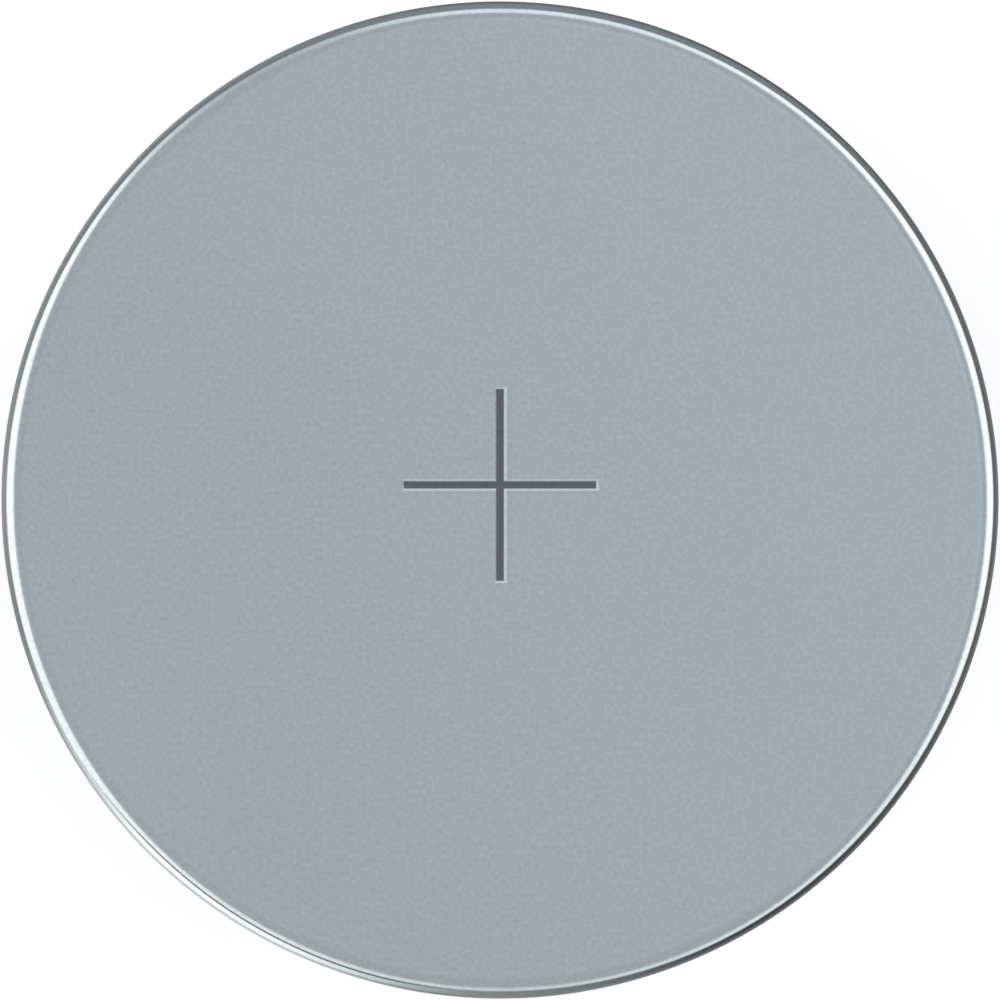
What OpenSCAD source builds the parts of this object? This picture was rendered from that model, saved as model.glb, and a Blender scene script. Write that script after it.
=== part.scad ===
// Tall lithium button cell, sealed by a crimp, standing on its negative cap.
// Millimetres, +Z up. The origin is the centre of the negative cap's outer face,
// and the positive face is on top.

/* [Cell] */
// Outside diameter of the can
cell_d = 11.6; // [10:0.1:16]
// Height over both terminals
cell_h = 10.8; // [8:0.1:20]

/* [Positive can] */
// Sheet thickness of the can
can_t = 0.22; // [0.15:0.01:0.25]
// Outer radius of the corner round the positive face
can_corner_r = 0.25; // [0.25:0.01:0.5]
// Depth of the rolled bead that carries the seal, before its bends are rounded
bead_depth = 0.6; // [0.4:0.05:0.8]
// Height of the bead's groove along the wall
bead_h = 1; // [0.8:0.05:1.6]
// Radius of the bead's bends at mid-sheet
bead_bend_r = 0.25; // [0.15:0.01:0.3]

/* [Polarity mark] */
// Length of each arm of the plus on the groove's floor, from end to end
mark_span = 2.22; // [1:0.01:5]
// Width of the groove's floor
mark_stroke = 0.085; // [0.05:0.005:0.4]
// Depth of the groove
mark_depth = 0.014; // [0.01:0.001:0.08]
// Mean width of the groove's sloping sides
mark_slope = 0.027; // [0.01:0.001:0.06]
// Share by which the slopes on the +X side are wider than that, and those on the -X side narrower
mark_lean = 0.6; // [0:0.1:0.8]
// Distance of the plus from the cell's axis, towards +Y
mark_offset = 0.175; // [0:0.005:1]

/* [Negative cap] */
// Sheet thickness of the cap
cap_t = 0.28; // [0.2:0.01:0.35]
// Outer radius of the corner round the raised face
cap_corner_r = 0.4; // [0.36:0.01:0.5]
// Radius of the fillet between skirt and flange
cap_fillet_r = 0.08; // [0.02:0.01:0.15]
// How far the cap stands out past the crimped edge
cap_proud = 0.3; // [0.1:0.05:0.5]
// Width of the ring round the raised face, out to the can's wall
rim_w = 1.55; // [1.35:0.05:2]

/* [Seal] */
// Wall thickness of the gasket
gasket_t = 0.3; // [0.2:0.01:0.4]
// Width of the gasket that shows inside the crimped edge
gasket_show = 0.25; // [0.1:0.05:0.4]
// Inner radius of the gasket's upper corner
gasket_fillet_r = 0.05; // [0.02:0.01:0.1]

/* [Winding] */
// Radius of the open core that the strips are wound round
core_r = 1.2; // [0.8:0.1:1.6]
// Thickness of the lithium strip
lithium_t = 0.18; // [0.15:0.01:0.3]
// Thickness of the manganese dioxide strip
cathode_t = 0.45; // [0.3:0.01:0.6]
// Thickness of each separator strip
separator_t = 0.12; // [0.05:0.01:0.2]
// How far the separators stand out past the electrode strips, at each edge
edge_margin = 0.4; // [0.2:0.05:0.8]

/* [Leads and insulators] */
// Thickness of the lead tabs
tab_t = 0.06; // [0.04:0.01:0.08]
// Width of the lead tabs
tab_w = 1; // [0.6:0.1:1.2]
// Distance of the tabs' standing legs inside the edge of the cap's flat face
tab_inset = 0.95; // [0.6:0.05:1.4]
// Radius of the tabs' bend at mid-sheet
tab_bend_r = 0.2; // [0.1:0.01:0.3]
// Distance of the tabs' free ends from the cell's axis
tab_end_r = 0.6; // [0.3:0.1:1]
// Thickness of the insulating washers
washer_t = 0.15; // [0.1:0.01:0.3]

/* [Fits] */
// Gap between faces that bear on each other
seat_gap = 0.02; // [0.01:0.005:0.04]
// Radial gap between the can's wall and what stands inside it
can_gap = 0.1; // [0.05:0.01:0.2]
// Radial gap between the gasket and the cap's skirt
skirt_gap = 0.1; // [0.05:0.01:0.2]
// Gap between neighbouring strips of the winding
wind_gap = 0.015; // [0.01:0.005:0.03]
// Radial gap between a tab and the washer that it passes
tab_gap = 0.3; // [0.2:0.05:0.5]

/* [Hidden] */

$fn = 96;
// Straight steps that stand for one bend of a sheet, and for one turn of the winding
bend_steps = 8;
turn_steps = 48;
// How far a cutting tool passes the face that it cuts
cut_over = 0.05;

cell_r = cell_d / 2;
wall_r = cell_r - can_t / 2;
wall_in_r = cell_r - can_t;
face_in_z = cell_h - can_t;

// The seal, upwards from the crimped edge: gasket, flange of the cap, gasket.
// The crimped edge and the gasket's lower corner are rolled round the flange's rim.
crimp_z = cap_proud + can_t / 2;
gasket_low_z = cap_proud + can_t + seat_gap + gasket_t / 2;
flange_z = gasket_low_z + gasket_t / 2 + seat_gap + cap_t / 2;
gasket_high_z = flange_z + cap_t / 2 + seat_gap + gasket_t / 2;
flange_r = cell_r - (flange_z - cap_proud);
gasket_r = wall_in_r - seat_gap - gasket_t / 2;
gasket_in_r = cell_r - rim_w + cap_fillet_r + skirt_gap;
crimp_in_r = gasket_in_r + gasket_show;
skirt_r = cell_r - rim_w - cap_t / 2;

// The bead's sides slope at this angle from the wall. Its lower side bears on the gasket's upper
// corner, and its upper side carries the edge of a washer.
bead_angle = atan2(bead_depth, bead_h / 2);
gasket_corner_r = gasket_t + gasket_fillet_r;
corner_x = gasket_r + gasket_t / 2 - gasket_corner_r;
corner_z = gasket_high_z + gasket_t / 2 - gasket_corner_r;
corner_reach = gasket_corner_r + seat_gap + can_t / 2;
bead_low_z = corner_z + (corner_reach - (wall_r - corner_x) * cos(bead_angle)) / sin(bead_angle);
bead_high_z = bead_low_z + bead_h;
wind_r = wall_in_r - can_gap;
cap_washer_z = bead_high_z
    + (can_t / 2 + seat_gap - (wall_r - wind_r) * cos(bead_angle)) / sin(bead_angle);

// The winding, between the washer on the bead and the washer under the positive face
wind_low_z = cap_washer_z + washer_t + seat_gap;
cathode_tab_z = face_in_z - seat_gap - tab_t / 2;
face_washer_z = cathode_tab_z - tab_t / 2 - seat_gap - washer_t;
wind_high_z = face_washer_z - seat_gap;
electrode_low_z = wind_low_z + edge_margin;
electrode_high_z = wind_high_z - edge_margin;

// Four strips share the pitch, each in its own lane outwards from the lithium
inner_lane = lithium_t + wind_gap;
cathode_lane = inner_lane + separator_t + wind_gap;
outer_lane = cathode_lane + cathode_t + wind_gap;
pitch = outer_lane + separator_t + wind_gap;
turns = (wind_r - core_r) / pitch - 1;

// A flat tab stands on the edge of its strip where the middle of the strip's lane
// is as far out as the tab is on the mean of its width
function lane_angle(lane) = 360 * (tab_mean_r - core_r - lane) / pitch;
tab_r = cell_r - rim_w - cap_corner_r - tab_inset;
tab_mean_r = (tab_r + norm([tab_r, tab_w / 2])) / 2;
lithium_tab_z = cap_t + seat_gap + tab_t / 2;
lithium_tab_angle = lane_angle(lithium_t / 2);
cathode_tab_angle = lane_angle(cathode_lane + cathode_t / 2);

function unit(v) = v / norm(v);
function left_of(v) = [-v.y, v.x];
function turned(v, a) = [v.x * cos(a) - v.y * sin(a), v.x * sin(a) + v.y * cos(a)];
function turn_angle(u, v) = atan2(u.x * v.y - u.y * v.x, u * v);
function flat(p) = [p.x, p.y];
function backwards(list) = [for (i = [len(list) - 1 : -1 : 0]) list[i]];

// One side of a sheet's bend round corner b, on its way from a to c. The corner's third number
// is the bend's radius at mid-sheet. The side is 1 on the left of the way and -1 on the right.
function bend(a, b, c, t, side) =
    let (
        u = unit(flat(b) - flat(a)),
        v = unit(flat(c) - flat(b)),
        angle = turn_angle(u, v),
        way = sign(angle),
        start = flat(b) - u * b.z * tan(abs(angle) / 2),
        centre = start + left_of(u) * b.z * way,
        reach = b.z - side * way * t / 2
    )
    [for (i = [0 : bend_steps]) centre - turned(left_of(u), angle * i / bend_steps) * reach * way];

// One side of a whole sheet along its path
function sheet_side(path, t, side) =
    let (
        last = len(path) - 1,
        first_side = left_of(unit(flat(path[1]) - flat(path[0]))) * side * t / 2,
        last_side = left_of(unit(flat(path[last]) - flat(path[last - 1]))) * side * t / 2
    )
    concat(
        [flat(path[0]) + first_side],
        [for (i = [1 : last - 1]) each bend(path[i - 1], path[i], path[i + 1], t, side)],
        [flat(path[last]) + last_side]
    );

// Section of a sheet of thickness t, bent along a path of [x, y, bend radius] corners at mid-sheet
module sheet_section(path, t) {
    polygon(concat(sheet_side(path, t, 1), backwards(sheet_side(path, t, -1))));
}

// A sheet section turned about the cell's axis
module turned_sheet(path, t) {
    rotate_extrude() sheet_section(path, t);
}

// Point of the winding at an angle, in the lane that starts so far out from the core
function wound(angle, lane) = (core_r + pitch * angle / 360 + lane) * [cos(angle), sin(angle)];

// A strip of thickness t, wound in its lane, between two heights
module wound_strip(lane, t, low, high) {
    steps = ceil(turns * turn_steps);
    angles = [for (i = [0 : steps]) 360 * turns * i / steps];
    inside = [for (a = angles) wound(a, lane)];
    outside = [for (a = angles) wound(a, lane + t)];
    translate([0, 0, low])
        linear_extrude(high - low)
            polygon(concat(outside, backwards(inside)));
}

// A lead tab that stands on the edge of its strip at height edge_z and lies flat at height flat_z
module lead_tab(angle, edge_z, flat_z) {
    path = [[tab_r, edge_z], [tab_r, flat_z, tab_bend_r], [tab_end_r, flat_z]];
    rotate([90, 0, angle])
        linear_extrude(tab_w, center = true)
            sheet_section(path, tab_t);
}

// A flat insulating washer inside the can, with a hole that a tab passes
module washer(low) {
    translate([0, 0, low])
        difference() {
            cylinder(r = wind_r, h = washer_t);
            translate([0, 0, -cut_over]) cylinder(r = tab_r + tab_gap, h = washer_t + 2 * cut_over);
        }
}

// Section of the plus's groove, with its brim at height 0 and its sides carried on past it
module mark_section(floor_w, lean) {
    half = floor_w / 2;
    carry = mark_slope * (mark_depth + cut_over) / mark_depth;
    right_side = [[half, -mark_depth], [half + carry * (1 + lean), cut_over]];
    left_side = [[-half - carry * (1 - lean), cut_over], [-half, -mark_depth]];
    polygon(concat(right_side, left_side));
}

// One arm of the plus as a cutting tool, with a floor of the given size and slopes all round
module mark_arm(size) {
    intersection() {
        rotate([90, 0, 0])
            linear_extrude(2 * mark_span, center = true)
                mark_section(size.x, mark_lean);
        rotate([90, 0, 90])
            linear_extrude(2 * mark_span, center = true)
                mark_section(size.y, 0);
    }
}

// Drawn steel cup: positive face, wall, bead that carries the seal, and crimped edge
module positive_can() {
    path = [
        [0, cell_h - can_t / 2],
        [wall_r, cell_h - can_t / 2, can_corner_r - can_t / 2],
        [wall_r, bead_high_z, bead_bend_r],
        [wall_r - bead_depth, (bead_low_z + bead_high_z) / 2, bead_bend_r],
        [wall_r, bead_low_z, bead_bend_r],
        [wall_r, crimp_z, wall_r - flange_r],
        [crimp_in_r, crimp_z]
    ];
    color("#9fa9af")
        difference() {
            turned_sheet(path, can_t);
            translate([0, mark_offset, cell_h]) {
                mark_arm([mark_span, mark_stroke]);
                mark_arm([mark_stroke, mark_span]);
            }
        }
}

// Pressed steel cap: raised face, skirt and flange
module negative_cap() {
    path = [
        [0, cap_t / 2],
        [skirt_r, cap_t / 2, cap_corner_r - cap_t / 2],
        [skirt_r, flange_z, cap_fillet_r + cap_t / 2],
        [flange_r, flange_z]
    ];
    color("#a9b1b5") turned_sheet(path, cap_t);
}

// Moulded ring that wraps the cap's flange and keeps it off the can
module sealing_gasket() {
    path = [
        [gasket_in_r, gasket_high_z],
        [gasket_r, gasket_high_z, gasket_corner_r - gasket_t / 2],
        [gasket_r, gasket_low_z, gasket_r - flange_r],
        [gasket_in_r, gasket_low_z]
    ];
    color("#2b2d30") turned_sheet(path, gasket_t);
}

// Manganese dioxide strip
module cathode_strip() {
    color("#2f2d2b") wound_strip(cathode_lane, cathode_t, electrode_low_z, electrode_high_z);
}

// Lithium foil
module lithium_strip() {
    color("#c9ccd1") wound_strip(0, lithium_t, electrode_low_z, electrode_high_z);
}

// Fleece between the lithium and the cathode outside it
module inner_separator() {
    color("#eef0ee") wound_strip(inner_lane, separator_t, wind_low_z, wind_high_z);
}

// Fleece between the cathode and the lithium of the next turn, or the can's wall
module outer_separator() {
    color("#e6e9e6") wound_strip(outer_lane, separator_t, wind_low_z, wind_high_z);
}

// Lead from the cathode strip's upper edge to the inside of the positive face
module cathode_tab() {
    color("#b9bcc0") lead_tab(cathode_tab_angle, electrode_high_z, cathode_tab_z);
}

// Lead from the lithium strip's lower edge to the inside of the cap
module lithium_tab() {
    color("#c2c0b6") lead_tab(lithium_tab_angle, electrode_low_z, lithium_tab_z);
}

// Washer between the winding and the positive face
module face_washer() {
    color("#d8dcd2") washer(face_washer_z);
}

// Washer between the winding and the bead
module cap_washer() {
    color("#d8dcd2") washer(cap_washer_z);
}

positive_can();
negative_cap();
sealing_gasket();
cathode_strip();
lithium_strip();
inner_separator();
outer_separator();
cathode_tab();
lithium_tab();
face_washer();
cap_washer();
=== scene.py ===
"""The looks of a tall lithium button cell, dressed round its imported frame.

Lengths are in millimetres until they become a mesh or the camera's place, which are in metres.
"""

import math

import bmesh
import bpy
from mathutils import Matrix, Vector


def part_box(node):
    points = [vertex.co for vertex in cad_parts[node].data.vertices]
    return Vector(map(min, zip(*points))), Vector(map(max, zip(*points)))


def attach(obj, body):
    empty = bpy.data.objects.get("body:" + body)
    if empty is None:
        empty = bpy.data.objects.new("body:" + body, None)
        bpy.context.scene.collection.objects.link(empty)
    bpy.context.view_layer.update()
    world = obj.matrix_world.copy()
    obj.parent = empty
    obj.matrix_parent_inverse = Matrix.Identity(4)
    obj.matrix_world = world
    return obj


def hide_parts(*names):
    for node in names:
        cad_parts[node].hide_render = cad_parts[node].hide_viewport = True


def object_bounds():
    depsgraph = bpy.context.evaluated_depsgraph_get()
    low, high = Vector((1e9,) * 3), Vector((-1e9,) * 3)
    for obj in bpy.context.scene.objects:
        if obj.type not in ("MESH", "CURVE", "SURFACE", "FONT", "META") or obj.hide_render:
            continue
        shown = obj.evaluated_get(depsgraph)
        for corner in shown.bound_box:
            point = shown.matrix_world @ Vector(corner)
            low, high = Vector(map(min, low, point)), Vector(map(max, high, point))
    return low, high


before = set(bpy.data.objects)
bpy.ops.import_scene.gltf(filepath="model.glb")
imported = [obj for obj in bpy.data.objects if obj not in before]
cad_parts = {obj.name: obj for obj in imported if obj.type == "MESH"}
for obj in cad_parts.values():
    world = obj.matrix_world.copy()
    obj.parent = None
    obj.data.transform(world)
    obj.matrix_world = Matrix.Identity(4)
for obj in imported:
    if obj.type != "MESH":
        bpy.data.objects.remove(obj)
CAD_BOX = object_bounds()

MM = 0.001

# Sizes read from the frame
CELL_R = CAD_BOX[1].x / MM
CELL_H = CAD_BOX[1].z / MM
CRIMP_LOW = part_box("positive_can")[0].z / MM
FLANGE_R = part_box("negative_cap")[1].x / MM
FLANGE_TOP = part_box("negative_cap")[1].z / MM
GASKET_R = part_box("sealing_gasket")[1].x / MM
GASKET_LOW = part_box("sealing_gasket")[0].z / MM
GASKET_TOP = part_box("sealing_gasket")[1].z / MM

# Sheet sizes of the can, the cap and the gasket, as in the part's source
CAN_T = 0.22
CAN_CORNER_R = 0.25
BEAD_DEPTH = 0.6
BEAD_H = 1.0
BEAD_BEND_R = 0.25
CAP_T = 0.28
CAP_CORNER_R = 0.4
CAP_FILLET_R = 0.08
RIM_W = 1.55
GASKET_T = 0.3
GASKET_SHOW = 0.25
GASKET_FILLET_R = 0.05
SEAT_GAP = 0.02
SKIRT_GAP = 0.1

# The plus on the positive face: a groove whose sloping sides lean to +X.
# MARK_SIDE is the section of a side: shares of the slope's width and of the groove's depth.
# MARK_BORDER is a strip of the flat face beside the groove, and MARK_FIELD_R the middle of the face.
MARK_SPAN = 2.22
MARK_STROKE = 0.085
MARK_DEPTH = 0.014
MARK_SLOPE = 0.027
MARK_LEAN = 0.6
MARK_OFFSET = 0.175
MARK_SIDE = ((0, 0), (0.08, 0.03), (0.18, 0.15), (0.82, 0.85), (0.92, 0.97), (1, 1))
MARK_BORDER = 0.006
MARK_FIELD_R = 2.0

# Fineness of the meshes, the short straight that keeps the shading flat beside a bend,
# the rounding of free edges, and the angle from which an edge is shaded sharp
LATHE_SEGMENTS = 384
BEND_STEPS = 10
FLAT_KEEP = 0.03
EDGE_STEPS = 6
STEEL_EDGE_R = 0.04
GASKET_EDGE_R = 0.06
SHARP_ANGLE = math.radians(20)
ON_AXIS = 1e-6


# Turned meshes

def unit(v):
    return v / v.length


def left_of(v):
    return Vector((-v.y, v.x))


def turned(v, angle):
    c = math.cos(angle)
    s = math.sin(angle)
    return Vector((v.x * c - v.y * s, v.x * s + v.y * c))


def bend(a, b, c, radius, thickness, side):
    """One side of a sheet's bend round corner b, with the bend's radius at mid-sheet."""
    u = unit(b - a)
    v = unit(c - b)
    angle = math.atan2(u.x * v.y - u.y * v.x, u.dot(v))
    way = math.copysign(1, angle)
    centre = b - u * radius * math.tan(abs(angle) / 2) + left_of(u) * radius * way
    reach = radius - side * way * thickness / 2
    arc = [
        centre - turned(left_of(u), angle * i / BEND_STEPS) * reach * way
        for i in range(BEND_STEPS + 1)
    ]
    return [arc[0] - u * FLAT_KEEP] + arc + [arc[-1] + v * FLAT_KEEP]


def sheet_side(path, thickness, side):
    """One side of a bent sheet. The path's corners are (r, z, bend radius) at mid-sheet."""
    points = [Vector(p[:2]) for p in path]
    first = left_of(unit(points[1] - points[0])) * side * thickness / 2
    last = left_of(unit(points[-1] - points[-2])) * side * thickness / 2
    out = [points[0] + first]
    for i in range(1, len(path) - 1):
        out += bend(points[i - 1], points[i], points[i + 1], path[i][2], thickness, side)
    return out + [points[-1] + last]


def free_end(one, two, radius):
    """The points round the free end of a sheet, from side one to side two, with rounded edges."""
    along = unit(one[-1] - one[-2])
    across = unit(two[-1] - one[-1])
    first = one[-1] + (across - along) * radius
    second = two[-1] - (across + along) * radius
    angles = [math.pi / 2 * i / EDGE_STEPS for i in range(EDGE_STEPS + 1)]
    edge_one = [first + (along * math.sin(a) - across * math.cos(a)) * radius for a in angles]
    edge_two = [second + (along * math.cos(a) + across * math.sin(a)) * radius for a in angles]
    return edge_one + edge_two


def cup_section(path, thickness, edge_r):
    """The section of a sheet that starts on the axis and has one free end."""
    one = sheet_side(path, thickness, 1)
    two = sheet_side(path, thickness, -1)
    return one[:-1] + free_end(one, two, edge_r) + two[-2::-1]


def ring_section(path, thickness, edge_r):
    """The section of a sheet with two free ends."""
    one = sheet_side(path, thickness, 1)
    two = sheet_side(path, thickness, -1)
    last = free_end(one, two, edge_r)
    first = free_end(two[::-1], one[::-1], edge_r)
    return one[1:-1] + last + two[-2:0:-1] + first


def ring_of(bm, point):
    """The vertices that a section's point (r, z) makes as it turns, or the one vertex on the axis."""
    if point.x < ON_AXIS:
        return [bm.verts.new((0, 0, point.y * MM))]
    ring = []
    for i in range(LATHE_SEGMENTS):
        angle = math.tau * i / LATHE_SEGMENTS
        x = point.x * math.cos(angle)
        y = point.x * math.sin(angle)
        ring.append(bm.verts.new((x * MM, y * MM, point.y * MM)))
    return ring


def skin(bm, one, two):
    """Faces between two rings of vertices, either of which may be a single vertex."""
    for i in range(LATHE_SEGMENTS):
        j = (i + 1) % LATHE_SEGMENTS
        corners = [one[i % len(one)], one[j % len(one)], two[j % len(two)], two[i % len(two)]]
        bm.faces.new(list(dict.fromkeys(corners)))


def turn(bm, section, closed):
    """Turns a section of (r, z) points about Z, and returns its rings of vertices."""
    rings = [ring_of(bm, point) for point in section]
    for one, two in zip(rings, rings[1:]):
        skin(bm, one, two)
    if closed:
        skin(bm, rings[-1], rings[0])
    return rings


def finished(bm, name, node, materials):
    """Makes the piece that stands for a node, smooth but for its sharp edges."""
    bmesh.ops.recalc_face_normals(bm, faces=bm.faces)
    mesh = bpy.data.meshes.new(name)
    bm.to_mesh(mesh)
    bm.free()
    mesh.shade_smooth()
    mesh.set_sharp_from_angle(angle=SHARP_ANGLE)
    for material in materials:
        mesh.materials.append(material)
    piece = bpy.data.objects.new(name, mesh)
    bpy.context.scene.collection.objects.link(piece)
    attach(piece, "root")
    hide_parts(node)
    return piece


# The pieces that show

def plus_outline(grow, depth):
    """The twelve corners of the plus at a depth below the face, grown all round, but leaning to +X."""
    half = MARK_STROKE / 2 + grow
    reach = MARK_SPAN / 2 + grow
    lean = MARK_LEAN * grow
    quarter = [(reach, -half), (reach, half), (half, half)]
    corners = []
    for _ in range(4):
        corners += quarter
        quarter = [(-y, x) for x, y in quarter]
    return [((x + lean) * MM, (y + MARK_OFFSET) * MM, (CELL_H - depth) * MM) for x, y in corners]


def mark_field(bm, ring):
    """Fills the middle of the positive face round the sunk plus, and returns the plus's floor."""
    outlines = [plus_outline(MARK_SLOPE + MARK_BORDER, 0)]
    for width, depth in MARK_SIDE:
        outlines.append(plus_outline(MARK_SLOPE * (1 - width), MARK_DEPTH * depth))
    loops = [[bm.verts.new(p) for p in outline] for outline in outlines]
    for one, two in zip(loops, loops[1:]):
        for i in range(len(one)):
            j = (i + 1) % len(one)
            bm.faces.new((one[i], one[j], two[j], two[i]))
    floor = bm.faces.new(loops[-1])
    around = set(ring) | set(loops[0])
    edges = [e for e in bm.edges if e.is_boundary and around.issuperset(e.verts)]
    bmesh.ops.triangle_fill(bm, use_beauty=True, edges=edges)
    return floor


def bead_bottom(wall_r):
    """The height where the bead meets the wall below it, with the bead seated on the gasket's corner."""
    angle = math.atan2(BEAD_DEPTH, BEAD_H / 2)
    corner_r = GASKET_T + GASKET_FILLET_R
    corner = Vector((GASKET_R - corner_r, GASKET_TOP - corner_r))
    reach = corner_r + SEAT_GAP + CAN_T / 2
    return corner.y + (reach - (wall_r - corner.x) * math.cos(angle)) / math.sin(angle)


def make_can(face_steel, wall_steel, rolled_steel, mark_floor):
    wall_r = CELL_R - CAN_T / 2
    bead_low = bead_bottom(wall_r)
    bead_high = bead_low + BEAD_H
    crimp_in_r = CELL_R - RIM_W + CAP_FILLET_R + SKIRT_GAP + GASKET_SHOW
    path = [
        (0, CELL_H - CAN_T / 2),
        (wall_r, CELL_H - CAN_T / 2, CAN_CORNER_R - CAN_T / 2),
        (wall_r, bead_high, BEAD_BEND_R),
        (wall_r - BEAD_DEPTH, (bead_low + bead_high) / 2, BEAD_BEND_R),
        (wall_r, bead_low, BEAD_BEND_R),
        (wall_r, CRIMP_LOW + CAN_T / 2, wall_r - FLANGE_R),
        (crimp_in_r, CRIMP_LOW + CAN_T / 2),
    ]
    section = cup_section(path, CAN_T, STEEL_EDGE_R)
    section[0] = Vector((MARK_FIELD_R, section[0].y))
    bm = bmesh.new()
    rings = turn(bm, section, closed=False)
    floor = mark_field(bm, rings[0])
    materials = [face_steel, wall_steel, rolled_steel, mark_floor]
    face_low = (CELL_H - CAN_CORNER_R) * MM
    wall_low = (bead_high + BEAD_BEND_R) * MM
    for f in bm.faces:
        z = f.calc_center_median().z
        steel = face_steel if z > face_low else wall_steel if z > wall_low else rolled_steel
        f.material_index = materials.index(steel)
    floor.material_index = materials.index(mark_floor)
    return finished(bm, "can_shell", "positive_can", materials)


def make_cap(steel):
    flange_z = FLANGE_TOP - CAP_T / 2
    skirt_r = CELL_R - RIM_W - CAP_T / 2
    path = [
        (0, CAP_T / 2),
        (skirt_r, CAP_T / 2, CAP_CORNER_R - CAP_T / 2),
        (skirt_r, flange_z, CAP_FILLET_R + CAP_T / 2),
        (FLANGE_R, flange_z),
    ]
    bm = bmesh.new()
    turn(bm, cup_section(path, CAP_T, STEEL_EDGE_R), closed=False)
    return finished(bm, "cap_shell", "negative_cap", [steel])


def make_gasket(plastic):
    wall_r = GASKET_R - GASKET_T / 2
    in_r = CELL_R - RIM_W + CAP_FILLET_R + SKIRT_GAP
    path = [
        (in_r, GASKET_TOP - GASKET_T / 2),
        (wall_r, GASKET_TOP - GASKET_T / 2, GASKET_FILLET_R + GASKET_T / 2),
        (wall_r, GASKET_LOW + GASKET_T / 2, wall_r - FLANGE_R),
        (in_r, GASKET_LOW + GASKET_T / 2),
    ]
    bm = bmesh.new()
    turn(bm, ring_section(path, GASKET_T, GASKET_EDGE_R), closed=True)
    return finished(bm, "gasket_ring", "sealing_gasket", [plastic])


# Materials

class Shading:
    """A short way to write a tree of shader nodes: each call adds nodes and returns an output."""

    def __init__(self, tree):
        self.tree = tree
        tree.nodes.clear()

    def put(self, socket, value):
        """Links a socket to an output, or sets it to a constant."""
        if isinstance(value, bpy.types.NodeSocket):
            self.tree.links.new(value, socket)
        else:
            socket.default_value = value

    def add(self, kind, inputs=None, out=0, **settings):
        node = self.tree.nodes.new(kind)
        for key, value in settings.items():
            setattr(node, key, value)
        for key, value in (inputs or {}).items():
            self.put(node.inputs[key], value)
        return node.outputs[out] if len(node.outputs) else node

    def calc(self, operation, a, b=0.0, clamp=False):
        return self.add("ShaderNodeMath", {0: a, 1: b}, operation=operation, use_clamp=clamp)

    def plus(self, a, b, clamp=False):
        return self.calc("ADD", a, b, clamp)

    def minus(self, a, b):
        return self.calc("SUBTRACT", a, b)

    def times(self, a, b):
        return self.calc("MULTIPLY", a, b)

    def line(self, value, slope, start):
        """The value times a slope, from a start."""
        return self.plus(self.times(value, slope), start)

    def span(self, value, low, high, to_low=0.0, to_high=1.0):
        """Maps low..high to to_low..to_high with a smooth step."""
        inputs = {"Value": value, "From Min": low, "From Max": high, "To Min": to_low, "To Max": to_high}
        return self.add("ShaderNodeMapRange", inputs, interpolation_type="SMOOTHSTEP")

    def blend(self, share, a, b):
        """The number a where the share is 0, b where it is 1."""
        rest = self.minus(1.0, share)
        return self.plus(self.times(a, rest), self.times(b, share))

    def mix(self, share, a, b):
        """The colour a where the share is 0, b where it is 1."""
        node = self.tree.nodes.new("ShaderNodeMix")
        node.data_type = "RGBA"
        sockets = {s.name: s for s in node.inputs if s.enabled}
        self.put(sockets["Factor"], share)
        self.put(sockets["A"], a)
        self.put(sockets["B"], b)
        return next(s for s in node.outputs if s.enabled)

    def tones(self, share, colour, darkest, lightest):
        """A colour between its darkest and its lightest tone."""
        return self.mix(share, tone_of(colour, darkest), tone_of(colour, lightest))

    def millimetres(self, scale=(1, 1, 1)):
        """The place on the object in millimetres, each axis times a scale."""
        place = self.add("ShaderNodeTexCoord", out="Object")
        factor = tuple(s / MM for s in scale)
        return self.add("ShaderNodeVectorMath", {0: place, 1: factor}, operation="MULTIPLY")

    def split(self, vector):
        """The x, y and z of a vector."""
        node = self.tree.nodes.new("ShaderNodeSeparateXYZ")
        self.put(node.inputs[0], vector)
        return node.outputs[0], node.outputs[1], node.outputs[2]

    def from_axis(self, x, y):
        """The distance of a place from the cell's axis."""
        return self.calc("SQRT", self.plus(self.calc("POWER", x, 2.0), self.calc("POWER", y, 2.0)))

    def noise(self, vector, scale, detail=2.0, roughness=0.5):
        inputs = {"Vector": vector, "Scale": scale, "Detail": detail, "Roughness": roughness}
        return self.add("ShaderNodeTexNoise", inputs)

    def bump(self, height, strength, distance):
        inputs = {"Height": height, "Strength": strength, "Distance": distance * MM}
        return self.add("ShaderNodeBump", inputs)

    def surface(self, **inputs):
        named = {key.replace("_", " ").title(): value for key, value in inputs.items()}
        shader = self.add("ShaderNodeBsdfPrincipled", named)
        self.add("ShaderNodeOutputMaterial", {"Surface": shader})


def new_material(name):
    material = bpy.data.materials.new(name)
    material.use_nodes = True
    return material, Shading(material.node_tree)


def tone_of(colour, factor):
    return tuple(c * factor for c in colour) + (1.0,)


STEEL = (0.571, 0.645, 0.662)
DARK_STEEL = (0.165, 0.185, 0.195)

# Grains, clouds and lines to the millimetre, and how much the drawn lines are drawn out along the cell
FACE_GRAIN = 20.0
FACE_CLOUD = 0.35
WALL_LINES = 9.0
WALL_DRAWN = (1, 1, 0.02)
ROLLED_LINES = 16.0
STEEL_GRAIN = 14.0
MARK_GRAIN = 22.0

# What the clouds or the grain add to a tone, the middle of a noise, the depth of the bumps,
# where the satin of the face ends, measured in from the wall, and the roughness of polished steel
CLOUD_SHARE = 0.2
WALL_GRAIN_SHARE = 0.3
ROLLED_GRAIN_SHARE = 0.4
NOISE_MIDDLE = 0.5
FINE_BUMP = 0.01
COARSE_BUMP = 0.02
SATIN_END = (0.27, 0.2)
POLISHED = 0.14


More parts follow.
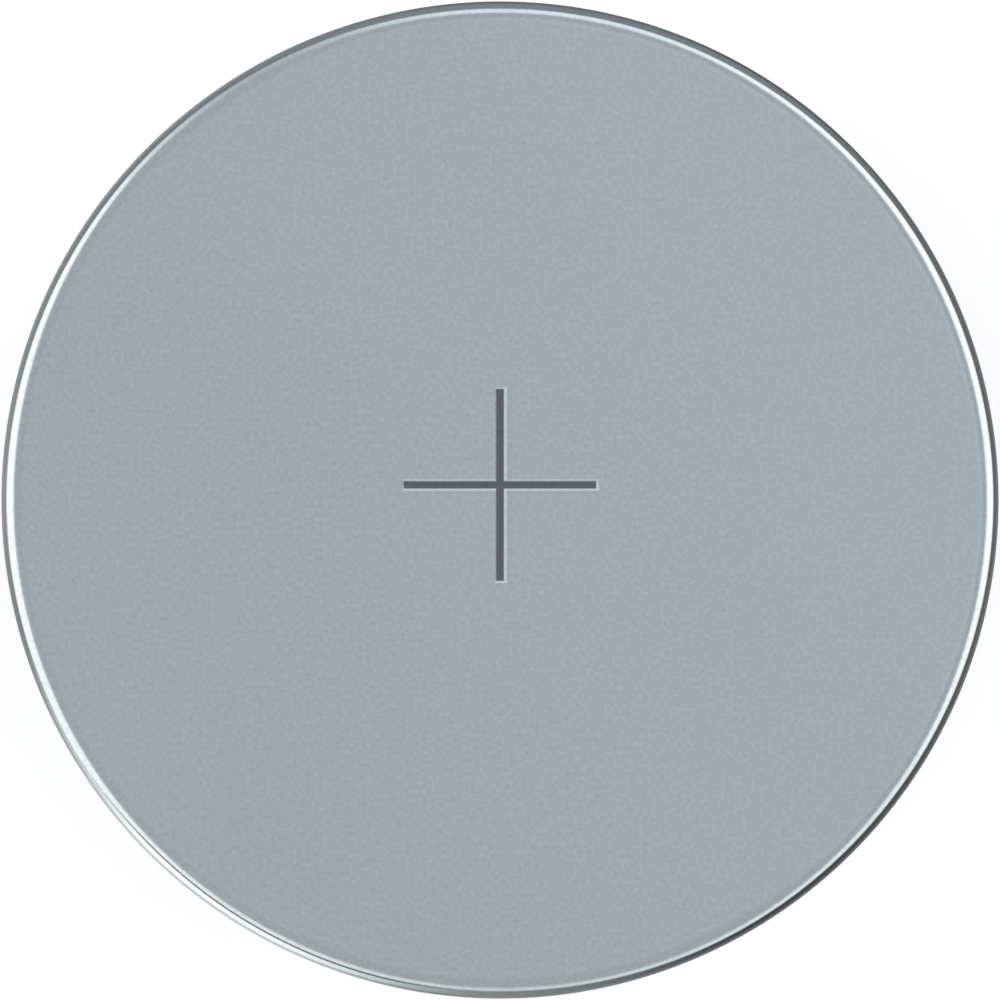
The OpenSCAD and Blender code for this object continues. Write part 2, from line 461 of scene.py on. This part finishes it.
def face_finish():
    """Satin face with a fine even grain, and a polished corner."""
    material, shade = new_material("can_face_steel")
    place = shade.millimetres()
    x, y, _ = shade.split(place)
    inner, outer = SATIN_END
    satin = shade.span(shade.from_axis(x, y), CELL_R - inner, CELL_R - outer, 1.0, 0.0)
    grain = shade.noise(place, FACE_GRAIN, detail=1.0)
    cloud = shade.noise(place, FACE_CLOUD)
    clouds = shade.times(shade.minus(cloud, NOISE_MIDDLE), CLOUD_SHARE)
    colour = shade.tones(shade.plus(grain, clouds, clamp=True), STEEL, darkest=0.875, lightest=1.125)
    satin_roughness = shade.line(grain, slope=0.08, start=0.2)
    roughness = shade.line(satin, slope=satin_roughness, start=POLISHED)
    normal = shade.bump(grain, strength=shade.times(satin, 0.12), distance=FINE_BUMP)
    shade.surface(base_color=colour, metallic=1.0, roughness=roughness, normal=normal)
    return material


def wall_finish():
    """Drawn wall: lines along the cell's axis."""
    material, shade = new_material("can_wall_steel")
    lines = shade.noise(shade.millimetres(WALL_DRAWN), WALL_LINES, detail=3.0, roughness=0.6)
    grain = shade.noise(shade.millimetres(), STEEL_GRAIN)
    tone = shade.blend(WALL_GRAIN_SHARE, lines, grain)
    colour = shade.tones(shade.span(tone, low=0.25, high=0.75), STEEL, darkest=0.89, lightest=1.08)
    roughness = shade.line(tone, slope=0.2, start=0.15)
    normal = shade.bump(tone, strength=0.12, distance=FINE_BUMP)
    shade.surface(base_color=colour, metallic=1.0, roughness=roughness, normal=normal)
    return material


def rolled_finish(name):
    """Rolled and pressed metal: faint lines round the cell's axis."""
    material, shade = new_material(name)
    place = shade.millimetres()
    x, y, z = shade.split(place)
    ring = shade.add("ShaderNodeCombineXYZ", {0: shade.from_axis(x, y), 1: z, 2: 0.0})
    lines = shade.noise(ring, ROLLED_LINES, detail=3.0, roughness=0.6)
    grain = shade.noise(place, STEEL_GRAIN)
    tone = shade.blend(ROLLED_GRAIN_SHARE, lines, grain)
    colour = shade.tones(tone, STEEL, darkest=0.84, lightest=1.14)
    roughness = shade.line(tone, slope=0.18, start=POLISHED)
    normal = shade.bump(tone, strength=0.1, distance=FINE_BUMP)
    shade.surface(base_color=colour, metallic=1.0, roughness=roughness, normal=normal)
    return material


def mark_finish():
    """Dark, rough floor of the plus."""
    material, shade = new_material("mark_floor_steel")
    grain = shade.noise(shade.millimetres(), MARK_GRAIN)
    colour = shade.tones(grain, DARK_STEEL, darkest=0.85, lightest=1.15)
    roughness = shade.line(grain, slope=0.2, start=0.4)
    normal = shade.bump(grain, strength=0.3, distance=FINE_BUMP)
    shade.surface(base_color=colour, metallic=1.0, roughness=roughness, normal=normal)
    return material


def grained_finish(name, light, dark, scale, smoothest, roughest, metallic):
    """A material of two close tones in a noise of so many grains to the millimetre."""
    material, shade = new_material(name)
    grain = shade.noise(shade.millimetres(), scale, detail=3.0, roughness=0.6)
    colour = shade.mix(grain, tone_of(dark, 1.0), tone_of(light, 1.0))
    roughness = shade.line(grain, slope=roughest - smoothest, start=smoothest)
    normal = shade.bump(grain, strength=0.2, distance=COARSE_BUMP)
    shade.surface(base_color=colour, metallic=metallic, roughness=roughness, normal=normal)
    return material


# Grained finishes: lighter tone, darker tone, grains to the millimetre, least and most roughness, metal
BLACK_PLASTIC = ((0.05, 0.05, 0.054), (0.03, 0.03, 0.033), 8.0, 0.45, 0.6, 0.0)
FLEECE = ((0.88, 0.89, 0.87), (0.74, 0.75, 0.73), 20.0, 0.85, 0.98, 0.0)
FILM = ((0.72, 0.73, 0.68), (0.62, 0.63, 0.58), 6.0, 0.45, 0.6, 0.0)
INNER = {
    "cathode_strip": ((0.045, 0.042, 0.04), (0.018, 0.016, 0.015), 9.0, 0.75, 0.95, 0.0),
    "lithium_strip": ((0.66, 0.67, 0.7), (0.5, 0.51, 0.53), 5.0, 0.3, 0.5, 1.0),
    "inner_separator": FLEECE,
    "outer_separator": FLEECE,
    "cathode_tab": ((0.6, 0.61, 0.62), (0.46, 0.47, 0.48), 12.0, 0.25, 0.4, 1.0),
    "lithium_tab": ((0.6, 0.6, 0.58), (0.46, 0.46, 0.45), 12.0, 0.25, 0.4, 1.0),
    "face_washer": FILM,
    "cap_washer": FILM,
}


def dress_inside():
    for node, finish in INNER.items():
        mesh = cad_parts[node].data
        mesh.materials.clear()
        mesh.materials.append(grained_finish(node + "_finish", *finish))


# The floor, in metres

FLOOR_HALF = 0.6
FLOOR_Z = -0.01 * MM
FLOOR_GREY = (0.82, 0.82, 0.82, 1.0)
FLOOR_GLOW = 0.44


def make_floor():
    mesh = bpy.data.meshes.new("floor")
    signs = ((-1, -1), (1, -1), (1, 1), (-1, 1))
    corners = [(x * FLOOR_HALF, y * FLOOR_HALF, FLOOR_Z) for x, y in signs]
    mesh.from_pydata(corners, [], [(0, 1, 2, 3)])
    floor = bpy.data.objects.new("floor", mesh)
    bpy.context.scene.collection.objects.link(floor)
    material, shade = new_material("floor_white")
    glow = {"emission_color": (1, 1, 1, 1), "emission_strength": FLOOR_GLOW}
    shade.surface(base_color=FLOOR_GREY, roughness=0.9, **glow)
    mesh.materials.append(material)
    floor.visible_glossy = False
    return floor


# The light by direction: a grey panel overhead, a bright band round it, and a darker part below the band.
# Angles are in degrees. Those of LEAN_LIFT, LEAN_FADE, START and END go down from straight up.

# The panel's middle is brighter towards LEAN_AZIMUTH. Its dark side is lifted to the level of the panel's
# rim over LEAN_LIFT, and the bright side fades to that level over LEAN_FADE.
PANEL = 0.497
PANEL_RIM = 0.575
PANEL_LEAN = 0.55
LEAN_AZIMUTH = 28
LEAN_REACH = 0.15
LEAN_LIFT = (2, 12)
LEAN_FADE = (10, 31)

# The panel's bluish tint also holds for the whole +Y side, over COOL_SPAN of the direction's y.
# The brightest light, over WHITE_SPAN, is warm enough to look white on the steel.
PANEL_TINT = (0.973, 1.0, 1.05, 1.0)
BAND_TINT = (1.0, 1.0, 1.0, 1.0)
WHITE_TINT = (1.1, 1.015, 1.0, 1.0)
COOL_SPAN = (0.3, 0.9)
WHITE_SPAN = (1.34, 1.5)

# Round the horizon, by the angle anticlockwise from +X: the band's light, start and end,
# then the start and the light of the part below it, and that part's light further down
BAND_SOFT = 8
BAND_LIGHT = {
    0: 1.52, 45: 1.5, 60: 1.4, 75: 1.23, 90: 1.2, 120: 0.66, 150: 1.52,
    180: 1.52, 210: 1.42, 225: 1.4, 240: 1.25, 270: 0.97, 315: 1.22, 340: 1.46,
}
BAND_START = {0: 48, 60: 53, 90: 51, 135: 61, 180: 45, 225: 50, 270: 56, 300: 64, 330: 56}
BAND_END = {
    0: 95, 30: 90, 45: 85, 60: 80, 90: 79, 135: 91, 180: 97, 210: 97,
    225: 76, 240: 77, 255: 80, 270: 78, 300: 90, 315: 89, 330: 91,
}
LOW_START = {
    0: 88, 60: 71, 90: 70, 135: 82, 180: 90, 210: 88,
    225: 77, 240: 79, 255: 82, 270: 68, 300: 81, 330: 84,
}
LOW_LIGHT = {
    0: 0.17, 30: 0.2, 45: 0.27, 60: 0.31, 75: 0.31, 90: 0.34, 135: 0.29, 165: 0.36, 180: 0.43,
    195: 0.32, 210: 0.85, 225: 1.6, 242: 1.5, 270: 0.34, 300: 0.08,
}
DEEP_SPAN = (108, 132)
DEEP_LIGHT = {
    0: 0.27, 60: 0.14, 75: 0.2, 90: 0.21, 135: 0.43, 180: 0.42, 197: 0.38,
    225: 0.8, 240: 0.8, 264: 0.36, 315: 0.2, 340: 0.24,
}
MOST_LIGHT = 3.0
MOST_ANGLE = 180.0
FULL_TURN = 360


def round_ramp(shade, azimuth, stops, most):
    """A value that runs smoothly round the horizon through its stops, none of them over the most."""
    node = shade.tree.nodes.new("ShaderNodeValToRGB")
    shade.put(node.inputs[0], azimuth)
    ramp = node.color_ramp
    ramp.interpolation = "EASE"
    wrapped = dict(stops) | {FULL_TURN: stops[0]}
    while len(ramp.elements) < len(wrapped):
        ramp.elements.new(0.5)
    for element, (angle, value) in zip(ramp.elements, sorted(wrapped.items())):
        element.position = angle / FULL_TURN
        element.color = (value / most,) * 3 + (1.0,)
    return shade.times(node.outputs[0], most)


def panel_light(shade, x, y, down):
    """The light of the panel overhead."""
    way = math.radians(LEAN_AZIMUTH)
    towards = shade.plus(shade.times(x, math.cos(way)), shade.times(y, math.sin(way)))
    lean = shade.span(towards, -LEAN_REACH, LEAN_REACH, 1 - PANEL_LEAN, 1 + PANEL_LEAN)
    lift = shade.span(down, *LEAN_LIFT, 0.0, PANEL_RIM)
    middle = shade.calc("MAXIMUM", shade.times(lean, PANEL), lift)
    return shade.blend(shade.span(down, *LEAN_FADE), middle, PANEL_RIM)


def low_part(shade, azimuth, down):
    """The light below the band."""
    near = round_ramp(shade, azimuth, LOW_LIGHT, MOST_LIGHT)
    deep = round_ramp(shade, azimuth, DEEP_LIGHT, MOST_LIGHT)
    light = shade.blend(shade.span(down, *DEEP_SPAN), near, deep)
    past_start = shade.minus(down, round_ramp(shade, azimuth, LOW_START, MOST_ANGLE))
    return shade.times(light, shade.span(past_start, 0.0, BAND_SOFT))


def make_light():
    world = bpy.data.worlds.new("studio")
    world.use_nodes = True
    bpy.context.scene.world = world
    shade = Shading(world.node_tree)
    x, y, z = shade.split(shade.add("ShaderNodeTexCoord", out="Generated"))
    down = shade.times(shade.calc("ARCCOSINE", z), 180 / math.pi)
    turns = shade.calc("DIVIDE", shade.calc("ARCTAN2", y, x), math.tau)
    azimuth = shade.calc("FRACT", shade.plus(turns, 1.0))
    past_start = shade.minus(down, round_ramp(shade, azimuth, BAND_START, MOST_ANGLE))
    past_end = shade.minus(down, round_ramp(shade, azimuth, BAND_END, MOST_ANGLE))
    band_light = round_ramp(shade, azimuth, BAND_LIGHT, MOST_LIGHT)
    in_band = shade.span(past_start, -BAND_SOFT, BAND_SOFT)
    upper = shade.blend(in_band, panel_light(shade, x, y, down), band_light)
    above_end = shade.span(past_end, -BAND_SOFT, 0.0, 1.0, 0.0)
    light = shade.plus(shade.times(upper, above_end), low_part(shade, azimuth, down))
    neutral = shade.times(in_band, shade.span(y, *COOL_SPAN, 1.0, 0.0))
    tint = shade.mix(neutral, PANEL_TINT, BAND_TINT)
    colour = shade.mix(shade.span(light, *WHITE_SPAN), tint, WHITE_TINT)
    shader = shade.add("ShaderNodeBackground", {"Color": colour, "Strength": light})
    shade.add("ShaderNodeOutputWorld", {"Surface": shader})


# The camera, straight above the positive face as in the photograph, whose half side
# and radius of the cell are in pixels. The clip distances are in metres.

PHOTO_HALF_PX = 500
CELL_R_PX = 498.5
LENS = 150.0
SENSOR = 36.0
CLIP_START = 0.001
CLIP_END = 10


def make_camera():
    data = bpy.data.cameras.new("camera")
    data.sensor_width = SENSOR
    data.lens = LENS
    data.clip_start = CLIP_START
    data.clip_end = CLIP_END
    camera = bpy.data.objects.new("camera", data)
    bpy.context.scene.collection.objects.link(camera)
    view_half = CELL_R * PHOTO_HALF_PX / CELL_R_PX
    rise = view_half * LENS / (SENSOR / 2)
    camera.location = (0, 0, (CELL_H - CAN_CORNER_R + rise) * MM)
    bpy.context.scene.camera = camera


bpy.context.scene.view_settings.view_transform = "Standard"
make_camera()
make_light()
make_floor()
make_can(face_finish(), wall_finish(), rolled_finish("can_rolled_steel"), mark_finish())
make_cap(rolled_finish("cap_pressed_steel"))
make_gasket(grained_finish("gasket_black", *BLACK_PLASTIC))
dress_inside()
